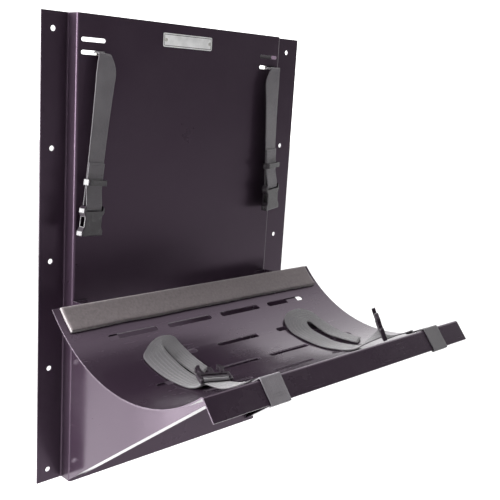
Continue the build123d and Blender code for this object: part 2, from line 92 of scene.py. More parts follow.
# Cradle tray: a trough about a horizontal axis
TROUGH_RADIUS = 250 * MM
TROUGH_Y = -251 * MM
TROUGH_Z = 112 * MM
LIP_ANGLE = 40.0
LIP_WIDTH = 36 * MM
LIP_SLOT_ANGLE = 35.0
SHEET = 2 * MM

# Lip webbing: its middle runs this far from the metal, and two rows of stitches cross its front
LIP_WEB_CLEARANCE = 1.5 * MM
LIP_STITCH_DROPS = (24 * MM, 28 * MM)
LIP_STITCH_HALF = 15 * MM

# Rear pad: a foam strip between two angles of the trough, in degrees
PAD_START, PAD_END = -47.2, -37.2
PAD_THICKNESS = 6 * MM
PAD_HALF_WIDTH = 276 * MM
PAD_DEPTH = 43.6 * MM
PAD_RIM = 1.4 * MM

# Each side's straps, with angles in degrees. Straps and tails are laid out as (X, Y, height above the
# trough) in millimetres, as pairs of points across the webbing. A strap runs from the lip to the buckle,
# and a tail from the buckle to its cut end. The male buckle's bar is in millimetres too.
SIDES = {
    "left": {
        "gather_x": -190 * MM, "pin_x": -177 * MM, "strap_x": -182.5 * MM, "yaw": 18.0, "lean": 6.45,
        "length": 235 * MM, "anchor_tail": 0.0, "anchor_tail_x": 0.0, "lip_x": -172 * MM,
        "bar": (-166.0, -305.0, -120.5), "bar_yaw": -24.0,
        "strap": [
            ((-191, -398, 4.4), (-153, -398, 4.4)), ((-191, -370, 4.6), (-153, -370, 4.6)),
            ((-189, -340, 5.0), (-151, -342, 5.0)),
        ],
        "tail": [
            ((-188, -296, 6.0), (-152, -300, 7.0)), ((-193, -282, 2.4), (-156, -284, 3.2)),
            ((-195, -262, 2.0), (-157, -262, 2.8)), ((-196, -225, 2.0), (-156, -225, 5.6)),
            ((-195, -190, 2.0), (-154, -192, 7.2)), ((-192, -168, 2.6), (-153, -173, 8.0)),
            ((-177, -155, 5.4), (-152, -166, 7.8)), ((-160, -145, 6.6), (-151, -163, 7.6)),
            ((-138, -138, 5.8), (-150, -162, 6.8)), ((-115, -141, 3.8), (-149, -166, 5.6)),
            ((-112, -158, 2.6), (-149, -180, 4.2)), ((-113, -190, 2.6), (-150, -198, 3.6)),
            ((-116, -232, 2.4), (-153, -256, 3.0)),
        ],
        "tail_hinge_y": -263.5 * MM,
    },
    "right": {
        "gather_x": 188 * MM, "pin_x": 191 * MM, "strap_x": 178 * MM, "yaw": 17.0, "lean": -2.6,
        "length": 217 * MM, "anchor_tail": 26 * MM, "anchor_tail_x": 172 * MM, "lip_x": 206 * MM,
        "bar": (163.0, -351.0, -100.0), "bar_yaw": 46.0,
        "strap": [
            ((187, -398, 4.4), (225, -398, 4.4)), ((187, -397.5, 4.6), (225, -384, 4.6)),
            ((187, -397, 5.2), (225, -362, 5.2)), ((186, -396, 7.4), (221, -360, 7.4)),
            ((182, -390, 7.6), (208, -355, 7.8)), ((172, -380, 8.2), (196, -350, 9.0)),
        ],
        "tail": [
            ((126, -352, 9.0), (160, -330, 12.0)), ((114, -334, 3.0), (152, -322, 5.0)),
            ((112, -306, 2.4), (150, -306, 3.0)), ((112, -260, 2.0), (150, -262, 4.0)),
            ((112, -210, 2.2), (152, -214, 6.0)), ((113, -188, 3.0), (155, -196, 7.0)),
            ((121, -168, 5.0), (159, -188, 7.4)), ((138, -152, 6.4), (163, -184, 7.6)),
            ((160, -146, 6.6), (167, -184, 7.4)), ((186, -146, 5.6), (170, -187, 7.0)),
            ((205, -158, 4.0), (171, -196, 6.0)), ((208, -186, 2.8), (171, -208, 4.8)),
            ((207, -230, 2.6), (170, -236, 3.6)), ((206, -276, 2.4), (169, -298, 3.0)),
        ],
        "tail_hinge_y": -307.5 * MM,
    },
}

# Camera: angles in degrees, lens and sensor in millimetres
CAMERA_PLACE = Vector((-898.2, -1082.8, 295.3)) * MM
CAMERA_YAW, CAMERA_PITCH, CAMERA_ROLL = 45.18, 11.86, 3.73
LENS = 57.312
SENSOR = 36.0

# The bracket hangs this far above the studio floor
FLOOR_DROP = 0.6
FLOOR_SIZE = 24

# The sky's strength at the viewer's back and behind the wall, and each light's name, place, target, size
# and power in watts
SKY_DIM, SKY_BRIGHT = 0.30, 2.1
LIGHTS = (
    ("side_softbox", (-2.4, 0.55, 0.5), (-0.25, -0.1, 0.0), (1.2, 1.8), 190),
    ("gusset_softbox", (-0.988, 0.44, -0.45), (-0.229, -0.24, -0.23), (0.27, 0.42), 2.1),
    ("pan_side_softbox", (-0.988, 0.80, 0.06), (-0.229, -0.014, 0.28), (0.30, 0.5), 7.0),
    ("top_softbox", (0.1, -0.5, 2.4), (0.0, -0.2, 0.0), (1.6, 1.6), 22),
)


# ---------------------------------------------------------------- materials

class Finish:
    """A node material being put together around one principled shader."""

    def __init__(self, name):
        self.material = bpy.data.materials.new(name)
        self.material.use_nodes = True
        self.tree = self.material.node_tree
        self.shader = self.tree.nodes["Principled BSDF"]

    def add(self, kind, inputs=None, **settings):
        node = self.tree.nodes.new("ShaderNode" + kind)
        for key, value in settings.items():
            setattr(node, key, value)
        for key, value in (inputs or {}).items():
            self.put(node.inputs[key], value)
        return node

    def put(self, socket, value):
        if isinstance(value, bpy.types.NodeSocket):
            self.tree.links.new(value, socket)
        else:
            socket.default_value = value

    def set(self, **inputs):
        for key, value in inputs.items():
            self.put(self.shader.inputs[key.replace("_", " ")], value)

    def coordinates(self):
        return self.add("TexCoord").outputs["Object"]

    def noise(self, vector, scale, detail=2.0, roughness=0.5):
        settings = {"Vector": vector, "Scale": scale, "Detail": detail, "Roughness": roughness}
        return self.add("TexNoise", settings).outputs["Fac"]

    def stretched(self, vector, scale):
        return self.add("Mapping", {"Vector": vector, "Scale": scale}).outputs["Vector"]

    def remap(self, value, low, high, to_low=0.0, to_high=1.0):
        inputs = {"Value": value, "From Min": low, "From Max": high, "To Min": to_low, "To Max": to_high}
        return self.add("MapRange", inputs).outputs["Result"]

    def maths(self, operation, first, second=0.0):
        return self.add("Math", {0: first, 1: second}, operation=operation).outputs["Value"]

    def blend(self, factor, first, second):
        node = self.add("Mix", data_type="RGBA")
        for socket, value in (("Factor_Float", factor), ("A_Color", first), ("B_Color", second)):
            self.put(next(s for s in node.inputs if s.identifier == socket), value)
        return next(s for s in node.outputs if s.identifier == "Result_Color")

    def bump(self, height, strength, distance, normal=None):
        inputs = {"Height": height, "Strength": strength, "Distance": distance}
        if normal is not None:
            inputs["Normal"] = normal
        return self.add("Bump", inputs).outputs["Normal"]

    def soft_edges(self, radius):
        """Normals rounded over the edges, and a mask that is 1 on them."""
        rounded = self.add("Bevel", {"Radius": radius}, samples=4).outputs["Normal"]
        plain = self.add("NewGeometry").outputs["Normal"]
        dot = self.add("VectorMath", {0: rounded, 1: plain}, operation="DOT_PRODUCT").outputs["Value"]
        return rounded, self.remap(dot, 0.995, 0.86)


def grey(value, tint=(1.0, 1.0, 1.0)):
    return (value * tint[0], value * tint[1], value * tint[2], 1.0)


# The black paint and plastic have a plum cast, and the paint's gloss has it too
PLUM = (1.0, 0.62, 1.0)
PLUM_GLOSS = (1.0, 0.72, 1.0, 1.0)

# Herringbone: the width of its columns, and the pitch and slant of their ribs
WEAVE_COLUMN = 3.1 * MM
WEAVE_RIB = 1.5 * MM
WEAVE_SLANT = 0.85

# Printed border on the nameplate: its distance from the edge and half its width
BORDER_INSET = 2.2 * MM
BORDER_HALF_WIDTH = 0.45 * MM


def powder_coat(name, shade, roughness, dust, edge_wear_and_highlight):
    """Black powder coat: fine orange peel, thin dust in clouds, edges paled by wear and painted highlight."""
    finish = Finish(name)
    place = finish.coordinates()
    rounded, edges = finish.soft_edges(0.9 * MM)
    clouds = finish.noise(place, 7.0, 6.0, 0.62)
    grain = finish.noise(place, 160.0, 4.0, 0.7)
    rubs = finish.noise(finish.stretched(place, (3.0, 14.0, 60.0)), 5.0, 5.0, 0.7)
    dusty = finish.maths("MULTIPLY", finish.remap(clouds, 0.44, 0.74), finish.remap(grain, 0.25, 0.75))
    dusty = finish.maths("MULTIPLY", dusty, dust)
    rubbed = finish.remap(rubs, 0.62, 0.80, 0.0, 0.35)
    # Paler edges: partly rubbed wear, partly a painted highlight along the edges
    worn = finish.maths("MULTIPLY", edges, finish.remap(grain, 0.30, 0.62, 0.15, 1.0))
    worn = finish.maths("MULTIPLY", worn, edge_wear_and_highlight)
    colour = finish.blend(dusty, grey(shade, PLUM), grey(0.16, (1.0, 0.95, 0.97)))
    colour = finish.blend(worn, colour, grey(0.34, (0.97, 0.94, 1.0)))
    sheen = finish.maths("ADD", finish.remap(clouds, 0.3, 0.8, roughness - 0.04, roughness + 0.08), rubbed)
    sheen = finish.maths("ADD", sheen, finish.maths("MULTIPLY", dusty, 0.25))
    peel = finish.noise(place, 420.0, 1.0)
    waviness = finish.noise(place, 18.0, 1.0)
    normal = finish.bump(waviness, 0.25, 0.6 * MM, rounded)
    normal = finish.bump(peel, 0.3, 0.04 * MM, normal)
    finish.set(Base_Color=colour, Roughness=sheen, Normal=normal)
    finish.shader.inputs["IOR"].default_value = 1.45
    finish.shader.inputs["Specular Tint"].default_value = PLUM_GLOSS
    return finish.material


def zinc_steel():
    """Zinc-plated steel: mottled plating with a faint yellow cast."""
    finish = Finish("zinc_steel")
    place = finish.coordinates()
    mottle = finish.noise(place, 260.0, 4.0, 0.6)
    brushed = finish.noise(finish.stretched(place, (1.0, 1.0, 9.0)), 900.0, 2.0)
    colour = finish.blend(finish.remap(mottle, 0.3, 0.7), grey(0.42), grey(0.62, (1.0, 0.97, 0.88)))
    normal = finish.bump(brushed, 0.3, 0.02 * MM)
    finish.set(Base_Color=colour, Roughness=finish.remap(mottle, 0.2, 0.8, 0.28, 0.5), Normal=normal)
    finish.shader.inputs["Metallic"].default_value = 1.0
    return finish.material


def plate_metal(low, high):
    """Blank brushed plate with a printed border line just inside its edge."""
    finish = Finish("plate_metal")
    place = finish.coordinates()
    brushed = finish.noise(finish.stretched(place, (0.02, 1.0, 1.0)), 2600.0, 3.0)
    stains = finish.noise(place, 60.0, 4.0)
    split = finish.add("SeparateXYZ", {0: place})
    insets = []
    for axis, near, far in (("X", low.x, high.x), ("Z", low.z, high.z)):
        offset = finish.maths("SUBTRACT", split.outputs[axis], (near + far) / 2)
        insets.append(finish.maths("SUBTRACT", (far - near) / 2, finish.maths("ABSOLUTE", offset)))
    line = finish.maths("COMPARE", finish.maths("MINIMUM", *insets), BORDER_INSET)
    line.node.inputs[2].default_value = BORDER_HALF_WIDTH
    metal = finish.blend(finish.remap(stains, 0.3, 0.75), grey(0.86), grey(0.62))
    colour = finish.blend(line, metal, grey(0.03))
    normal = finish.bump(brushed, 0.3, 0.02 * MM)
    finish.set(Base_Color=colour, Roughness=finish.remap(brushed, 0.3, 0.7, 0.3, 0.46), Normal=normal)
    finish.shader.inputs["Metallic"].default_value = 0.35
    return finish.material


def buckle_plastic():
    """Moulded black acetal: spark-eroded grain, corners paled by scuffs and painted highlight."""
    finish = Finish("buckle_plastic")
    place = finish.coordinates()
    rounded, edges = finish.soft_edges(0.8 * MM)
    grain = finish.noise(place, 1500.0, 2.0)
    scuffs = finish.noise(place, 120.0, 5.0, 0.7)
    # Paler corners: partly scuffs, partly a painted highlight on the corners
    worn = finish.maths("MULTIPLY", edges, finish.remap(scuffs, 0.4, 0.65))
    colour = finish.blend(finish.maths("MULTIPLY", worn, 0.35), grey(0.012, PLUM), grey(0.20))
    normal = finish.bump(grain, 0.5, 0.04 * MM, rounded)
    finish.set(Base_Color=colour, Roughness=finish.remap(scuffs, 0.3, 0.7, 0.24, 0.42), Normal=normal)
    return finish.material


def webbing_fabric(name, shade):
    """Grey polyester webbing in a herringbone weave. It reads the strip's own map, in metres."""
    finish = Finish(name)
    strip = finish.add("UVMap", uv_map="strip").outputs["UV"]
    place = finish.coordinates()
    split = finish.add("SeparateXYZ", {0: strip})
    across, along = split.outputs["X"], split.outputs["Y"]
    column = finish.maths("PINGPONG", across, WEAVE_COLUMN)
    slant = finish.maths("ADD", along, finish.maths("MULTIPLY", column, WEAVE_SLANT))
    ribs = finish.maths("SINE", finish.maths("MULTIPLY", slant, math.tau / WEAVE_RIB))
    columns = finish.maths("SINE", finish.maths("MULTIPLY", across, math.pi / WEAVE_COLUMN))
    seams = finish.remap(finish.maths("ABSOLUTE", columns), 0.0, 0.35)
    weave = finish.maths("MULTIPLY", finish.remap(ribs, -1.0, 1.0), seams)
    fibres = finish.noise(place, 2400.0, 2.0)
    wear = finish.noise(place, 26.0, 5.0, 0.65)
    dark, light = grey(shade * 0.42, (1.0, 0.88, 1.02)), grey(shade * 1.25, (1.0, 0.91, 1.02))
    colour = finish.blend(weave, dark, light)
    worn = finish.remap(wear, 0.35, 0.75, 0.0, 0.45)
    colour = finish.blend(worn, colour, grey(shade * 1.7, (1.0, 0.94, 1.0)))
    normal = finish.bump(weave, 0.8, 0.25 * MM)
    normal = finish.bump(fibres, 0.5, 0.08 * MM, normal)
    finish.set(Base_Color=colour, Roughness=finish.remap(wear, 0.3, 0.7, 0.62, 0.8), Normal=normal)
    finish.shader.inputs["Sheen Weight"].default_value = 0.35
    finish.shader.inputs["Sheen Roughness"].default_value = 0.4
    return finish.material


def thread():
    """Bonded nylon sewing thread, twisted."""
    finish = Finish("sewing_thread")
    place = finish.coordinates()
    twist = finish.noise(place, 1800.0, 1.0)
    colour = finish.blend(twist, grey(0.05), grey(0.16, (1.0, 0.95, 1.0)))
    finish.set(Base_Color=colour, Normal=finish.bump(twist, 0.6, 0.1 * MM))
    finish.shader.inputs["Roughness"].default_value = 0.5
    return finish.material


def foam(name, shade, tint):
    """Closed-cell foam strip: fine pores, soiled in patches."""
    finish = Finish(name)
    place = finish.coordinates()
    pores = finish.add("TexVoronoi", {"Vector": place, "Scale": 900.0}).outputs["Distance"]
    lumps = finish.noise(place, 220.0, 4.0, 0.6)
    soil = finish.noise(finish.stretched(place, (1.0, 4.0, 4.0)), 8.0, 5.0, 0.6)
    speckle = finish.remap(lumps, 0.3, 0.7)
    colour = finish.blend(speckle, grey(shade * 0.78, tint), grey(shade * 1.15, tint))
    colour = finish.blend(finish.remap(soil, 0.35, 0.8, 0.0, 0.4), colour, grey(shade * 0.62, tint))
    normal = finish.bump(pores, 0.5, 0.25 * MM)
    normal = finish.bump(lumps, 0.4, 0.3 * MM, normal)
    finish.set(Base_Color=colour, Normal=normal)
    finish.shader.inputs["Roughness"].default_value = 0.85
    finish.shader.inputs["Sheen Weight"].default_value = 0.15
    return finish.material


def floor_paint():
    """Matt white paint, faintly mottled."""
    finish = Finish("studio_floor")
    place = finish.coordinates()
    mottle = finish.noise(place, 3.0, 3.0)
    finish.set(Base_Color=finish.blend(mottle, grey(0.86), grey(0.90)))
    finish.shader.inputs["Roughness"].default_value = 0.9
    return finish.material


# ---------------------------------------------------------------- mesh helpers

def new_piece(name, mesh, materials, body):
    """Link a finished mesh as a piece. It rides on the body, if one is given."""
    piece = bpy.data.objects.new(name, mesh)
    bpy.context.scene.collection.objects.link(piece)
    for material in materials:
        mesh.materials.append(material)
    for polygon in mesh.polygons:
        polygon.use_smooth = True
    if body:
        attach(piece, body)
    return piece


def catmull(points, steps):
    """Smooth curve through points, each a Vector."""
    result = []
    last = len(points) - 1
    for i in range(last):
        a, b = points[max(i - 1, 0)], points[i]
        c, d = points[i + 1], points[min(i + 2, last)]
        for k in range(steps):
            t = k / steps
            result.append(0.5 * ((2 * b) + (c - a) * t + (2 * a - 5 * b + 4 * c - d) * t * t
                                 + (3 * b - a - 3 * c + d) * t ** 3))
    result.append(points[-1].copy())
    return result


def smooth_rulings(rulings, steps):
    """Rulings are pairs of points across a band; both edges are smoothed."""
    lefts = catmull([r[0] for r in rulings], steps)
    rights = catmull([r[1] for r in rulings], steps)
    return list(zip(lefts, rights))


# Share of the width and of the half thickness, round the section of the webbing
COLUMNS = [0.0, 0.006, 0.025, 0.07, 0.18, 0.34, 0.5, 0.66, 0.82, 0.93, 0.975, 0.994, 1.0]
SWELL = [0.0, 0.62, 0.95, 1.0, 0.94, 0.92, 0.92, 0.92, 0.94, 1.0, 0.95, 0.62, 0.0]


def band_mesh(name, rulings, ripple=0.12 * MM, seed=0.0):
    """Closed mesh of webbing along rulings, with a rounded selvage and a slight unevenness."""
    mesh = bpy.data.meshes.new(name)
    grid = bmesh.new()
    strip = grid.loops.layers.uv.new("strip")
    half = WEB_THICKNESS / 2
    top = list(zip(COLUMNS, SWELL))
    section = top + [(t, -s) for t, s in reversed(top[1:-1])]
    centres = [(left + right) / 2 for left, right in rulings]
    rings, marks, travelled = [], [], 0.0
    for i, (left, right) in enumerate(rulings):
        before, after = max(i - 1, 0), min(i + 1, len(rulings) - 1)
        tangent = centres[after] - centres[before]
        normal = tangent.cross(right - left).normalized()
        if i:
            travelled += (centres[i] - centres[i - 1]).length
        ring = []
        for t, s in section:
            point = left.lerp(right, t)
            wobble = noise.noise(Vector((t * 2.5, travelled * 40, seed))) * ripple
            ring.append(grid.verts.new(point + normal * (half * s + wobble)))
        rings.append(ring)
        marks.append(travelled)
    count = len(section)
    for i in range(len(rings) - 1):
        for k in range(count):
            n = (k + 1) % count
            corners = ((i, k), (i, n), (i + 1, n), (i + 1, k))
            face = grid.faces.new([rings[a][b] for a, b in corners])
            for loop, (a, b) in zip(face.loops, corners):
                loop[strip].uv = (section[b][0] * WEB_WIDTH, marks[a])
    grid.faces.new(rings[0])
    grid.faces.new(list(reversed(rings[-1])))
    bmesh.ops.recalc_face_normals(grid, faces=grid.faces)
    grid.to_mesh(mesh)
    grid.free()
    return mesh


def stitch_mesh(name, lines, lift):
    """Rows of thread stitches. Each line is (start, end, normal)."""
    mesh = bpy.data.meshes.new(name)
    grid = bmesh.new()
    length, gap, radius = 2.6 * MM, 0.9 * MM, 0.42 * MM
    for start, end, normal in lines:
        run = end - start
        count = max(1, int(run.length / (length + gap)))
        along = run.normalized()
        side = normal.cross(along)
        turn = Matrix((along, side, normal)).transposed().to_4x4()
        for i in range(count):
            centre = start + run * ((i + 0.5) / count) + normal * lift
            size = Matrix.Diagonal((length / 2, radius, radius * 0.8, 1))
            place = Matrix.Translation(centre) @ turn @ size
            bmesh.ops.create_uvsphere(grid, u_segments=8, v_segments=6, radius=1.0, matrix=place)
    grid.to_mesh(mesh)
    grid.free()
    return mesh


def trough_ray(turn, radius):
    """(Y, Z) at a radius from the trough's axis; turn is in radians, forwards from straight down."""
    return (TROUGH_Y - radius * math.sin(turn), TROUGH_Z - radius * math.cos(turn))


def on_trough(x, y, height):
    """Point at a height above the trough's inner face, over the place x, y."""
    turn = math.asin((TROUGH_Y - y) / TROUGH_RADIUS)
    return Vector((x, *trough_ray(turn, TROUGH_RADIUS - height)))


def laid(points):
    """Rulings on the trough from (x, y, height) pairs in millimetres."""
    return [tuple(on_trough(*(value * MM for value in point)) for point in pair) for pair in points]


def across_ruling(centre, direction, width=WEB_WIDTH):
    """Ruling of the band's width about its middle."""
    return (centre - direction * width / 2, centre + direction * width / 2)


# ---------------------------------------------------------------- hanging straps

def hanging_place(side, share):
    """Frame on the hanging strap at a share of its length: local X across it, local Z up along it."""
    hanger = Matrix.Translation((side["strap_x"], HANGER_Y, HANGER_Z))
    hanger = hanger @ Matrix.Rotation(math.radians(-FORWARD_LEAN), 4, "X")
    hanger = hanger @ Matrix.Rotation(math.radians(side["lean"]), 4, "Y")
    drop = Matrix.Translation((0, 0, -side["length"] * share))
    twist = side["yaw"] * (1 - (1 - share) ** 3)
    return hanger @ drop @ Matrix.Rotation(math.radians(twist), 4, "Z")


def local_ruling(place, offset, width=WEB_WIDTH):
    """Ruling across a place on the strap, moved behind it by the offset."""
    return (place @ Vector((-width / 2, offset, 0)), place @ Vector((width / 2, offset, 0)))


def spread_width(drop):
    """Width of the webbing at a distance below the slot."""
    share = min(drop / SPREAD_LENGTH, 1.0)
    return GATHERED_WIDTH + (WEB_WIDTH - GATHERED_WIDTH) * math.sin(share * math.pi / 2)


def pin_rulings(side):
    """The webbing from its sewn end behind the pan, round the pin and out through the slot."""
    tilt = Matrix.Rotation(math.radians(side["lean"]), 4, "Y") @ Vector((1, 0, 0))
    level = Vector((1, 0, 0))
    pin_x, gather_x, narrow = side["pin_x"], side["gather_x"], GATHERED_WIDTH
    if side["anchor_tail"]:
        tail_x = side["anchor_tail_x"]
        stops = [
            (tail_x, PIN_Y - 5.2 * MM, PIN_Z + side["anchor_tail"], WEB_WIDTH),
            (tail_x, PIN_Y - 5.2 * MM, PIN_Z + 15 * MM, WEB_WIDTH),
            ((tail_x + pin_x) / 2, PIN_Y - 5.4 * MM, PIN_Z + 7 * MM, (WEB_WIDTH + narrow) / 2),
        ]
        start, end, leave = 150, -90, -1
    else:
        stops = [
            (pin_x, PIN_Y - 5.6 * MM, PIN_Z - 1.9 * MM, narrow),
            (pin_x, PIN_Y - 3.4 * MM, PIN_Z - 3.2 * MM, narrow),
        ]
        start, end, leave = -100, 100, 1
    turns = 9
    for i in range(turns + 1):
        angle = math.radians(start + (end - start) * i / turns)
        y, z = PIN_Y + PIN_MID_RADIUS * math.cos(angle), PIN_Z + PIN_MID_RADIUS * math.sin(angle)
        stops.append((pin_x, y, z, narrow))
    near_pin, near_slot = pin_x * 0.75 + gather_x * 0.25, pin_x * 0.2 + gather_x * 0.8
    strap_start = gather_x + (side["strap_x"] - gather_x) * 0.2
    stops += [
        (near_pin, PIN_Y - 3 * MM, PIN_Z + leave * 2.9 * MM, narrow),
        (near_slot, PIN_Y - 7 * MM, PIN_Z + leave * 0.8 * MM, narrow),
        (gather_x, PIN_Y - 11 * MM, PIN_Z + 0.3 * MM, narrow),
        (gather_x, HANGER_Y + 5 * MM, PIN_Z + 0.1 * MM, narrow),
        (strap_start, HANGER_Y + 1 * MM, PIN_Z - 0.6 * MM, narrow + 1 * MM),
    ]
    last = len(stops) - 1
    return [across_ruling(Vector((x, y, z)), level.lerp(tilt, (i / last) ** 3), width)
            for i, (x, y, z, width) in enumerate(stops)]


def flap_offset(rise):
    """How far the return flap stands in front of the strap, at a height above the bar."""
    near, far = 2 * LOOP_MID_RADIUS, WEB_THICKNESS + 0.3 * MM
    return far + (near - far) * math.cos(min(rise / (34 * MM), 1.0) * math.pi / 2) ** 2


def hanging_rulings(side):
    """The webbing from behind the pan down to the buckle's bar, round it and back up as a flap."""
    rulings = pin_rulings(side)
    near_slot = [0.018, 0.04, 0.08]
    for share in near_slot + [i / 16 for i in range(2, 17)]:
        drop = share * side["length"]
        shift = (side["gather_x"] - side["strap_x"]) * 0.8 * (1 - min(drop / SPREAD_LENGTH, 1.0)) ** 2
        place = hanging_place(side, share) @ Matrix.Translation((shift, 0, 0))
        rulings.append(local_ruling(place, 0.0, spread_width(drop)))
    bottom = hanging_place(side, 1.0)
    for i in range(1, 8):
        turn = math.pi * i / 8
        below = Matrix.Translation((0, 0, -LOOP_MID_RADIUS * math.sin(turn)))
        rulings.append(local_ruling(bottom @ below, LOOP_MID_RADIUS * (math.cos(turn) - 1)))
    steps = 12
    for i in range(steps + 1):
        rise = RETURN_LENGTH * i / steps
        place = hanging_place(side, 1.0 - rise / side["length"])
        rulings.append(local_ruling(place, -flap_offset(rise)))
    return rulings


def hanging_web(name, side, fabric):
    mesh = band_mesh(f"{name}_hanging_web", smooth_rulings(hanging_rulings(side), 4), seed=len(name))
    web = new_piece(f"{name}_hanging_web", mesh, [fabric], None)
    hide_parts(f"{name}_hanging_strap", f"{name}_strap_anchor")
    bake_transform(web)


def return_stitches(name, side, sewing):
    """Box with a cross, sewn through the return flap and the strap."""
    low, high = RETURN_STITCHES
    reach = WEB_WIDTH / 2 - RETURN_STITCH_INSET
    points = []
    for sign, rise in ((-1, low), (1, low), (1, high), (-1, high)):
        place = hanging_place(side, 1.0 - rise / side["length"])
        points.append(place @ Vector((sign * reach, -flap_offset(rise) - WEB_THICKNESS / 2, 0)))
    facing = (hanging_place(side, 0.75).to_3x3() @ Vector((0, -1, 0))).normalized()
    pairs = [(0, 1), (1, 2), (2, 3), (3, 0), (0, 2), (1, 3)]
    lines = [(points[a], points[b], facing) for a, b in pairs]
    stitches = stitch_mesh(f"{name}_return_stitches", lines, 0.05 * MM)
    new_piece(f"{name}_return_stitches", stitches, [sewing], f"{name}_hanger")


# ---------------------------------------------------------------- tray webbing

def lip_frame():
    """In (Y, Z): the lip's bend, the way out along the lip, and the way its face looks."""
    turn = math.radians(LIP_ANGLE)
    out = Vector((-math.sin(turn), -math.cos(turn)))
    fore = Vector((-math.cos(turn), math.sin(turn)))
    return Vector((TROUGH_Y, TROUGH_Z)) + out * TROUGH_RADIUS, out, fore


def lip_route():
    """The loop round the lip, in (Y, Z): up through the slot and over the bend."""
    corner, out, fore = lip_frame()
    above = LIP_WEB_CLEARANCE

    def ray(angle, radius):
        return Vector(trough_ray(math.radians(angle), radius))

    back = -fore * (SHEET + above)
    low = out * (LIP_WIDTH + 0.4 * MM)
    return [
        ray(LIP_SLOT_ANGLE - 0.6, TROUGH_RADIUS - above), ray(LIP_SLOT_ANGLE, TROUGH_RADIUS),
        ray(LIP_SLOT_ANGLE + 0.2, TROUGH_RADIUS + SHEET + above * 1.4),
        corner + back * 1.3 + out * 9 * MM, corner + back + out * 20 * MM, corner + back + low,
        corner - fore * (SHEET + above) * 0.6 + low + out * above * 0.9,
        corner + fore * above * 0.2 + low + out * above * 0.9,
        corner + fore * above + low, corner + fore * above + out * 20 * MM,
        corner + fore * above * 1.1 + out * 4 * MM, corner + fore * above * 0.7 - out * above * 0.6,
        ray(LIP_ANGLE - 1.0, TROUGH_RADIUS - above * 1.05),
        ray(LIP_SLOT_ANGLE + 1.6, TROUGH_RADIUS - above * 1.1),
    ]


def lip_web(name, side, fabric):
    route = catmull(lip_route(), 5)
    across = Vector((1, 0, 0))
    rulings = [across_ruling(Vector((side["lip_x"], p.x, p.y)), across) for p in route]
    mesh = band_mesh(f"{name}_lip_web", rulings, seed=3.0 + len(name))
    web = new_piece(f"{name}_lip_web", mesh, [fabric], "bracket")
    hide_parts(f"{name}_lip_webbing")


def lip_stitches(name, side, sewing):
    """Rows of stitches across the front of the lip webbing."""
    corner, out, fore = (Vector((0, way.x, way.y)) for way in lip_frame())
    half = Vector((LIP_STITCH_HALF, 0, 0))
    face = Vector((side["lip_x"], 0, 0)) + corner + fore * (LIP_WEB_CLEARANCE + WEB_THICKNESS / 2)
    lines = []
    for drop in LIP_STITCH_DROPS:
        middle = face + out * drop
        lines.append((middle - half, middle + half, fore))
    stitches = stitch_mesh(f"{name}_lip_stitches", lines, 0.0)
    new_piece(f"{name}_lip_stitches", stitches, [sewing], "bracket")


def bar_circle(side, start, end, count, radius=LOOP_MID_RADIUS):
    """Rulings round the male buckle's bar. Degrees from straight behind the bar, positive upwards."""
    centre = Vector(side["bar"]) * MM
    yaw = math.radians(side["bar_yaw"])
    across = Vector((math.cos(yaw), math.sin(yaw), 0))
    behind = Vector((-math.sin(yaw), math.cos(yaw), 0))
    rulings = []
    for i in range(count + 1):
        turn = math.radians(start + (end - start) * i / count)
        point = centre + (behind * math.cos(turn) + Vector((0, 0, 1)) * math.sin(turn)) * radius
        rulings.append(across_ruling(point, across))
    return rulings


def tray_web(name, side, fabric):
    rulings = laid(side["strap"]) + bar_circle(side, -100, 175, 9)
    mesh = band_mesh(f"{name}_tray_web", smooth_rulings(rulings, 5), seed=7.0 + len(name))
    web = new_piece(f"{name}_tray_web", mesh, [fabric], f"{name}_tray_web")
    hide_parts(f"{name}_tray_strap", f"{name}_male_loop")


def tail_web(name, side, fabric):
    start = bar_circle(side, 60, 20, 1, LOOP_MID_RADIUS + WEB_THICKNESS)
    rulings = start + laid(side["tail"])
    mesh = band_mesh(f"{name}_tail_web", smooth_rulings(rulings, 6), 0.25 * MM, seed=11.0 + len(name))
    web = new_piece(f"{name}_tail_web", mesh, [fabric], None)
    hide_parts(f"{name}_tail_stub", f"{name}_strap_tail")
    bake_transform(web)


# ---------------------------------------------------------------- pad

def pad_point(u, v, top):
    """Point at shares of the pad's width and depth, on its crowned top or its underside."""
    x = -PAD_HALF_WIDTH + 2 * PAD_HALF_WIDTH * u
    wander = noise.noise(Vector((x * 14, 3.0, 0.0))) * 1.1 * MM
    wander += noise.noise(Vector((x * 55, 9.0, 0.0))) * 0.5 * MM
    height = 0.15 * MM
    if top:
        nearest = min(u, 1 - u) * 2 * PAD_HALF_WIDTH, min(v, 1 - v) * PAD_DEPTH
        drop = sum(max(0.0, 1 - d / PAD_RIM) ** 2 for d in nearest)
        crown = 0.35 * MM * math.sin(math.pi * v) * math.sin(math.pi * u) ** 0.25
        height = PAD_THICKNESS - 0.5 * MM - 0.9 * MM * min(drop, 1.0) + crown
        height += noise.noise(Vector((x * 60, v * 3, 5.0))) * 0.18 * MM
    turn = math.radians(PAD_START + (PAD_END - PAD_START) * v) + wander * v / TROUGH_RADIUS
    return (x, *trough_ray(turn, TROUGH_RADIUS - height))


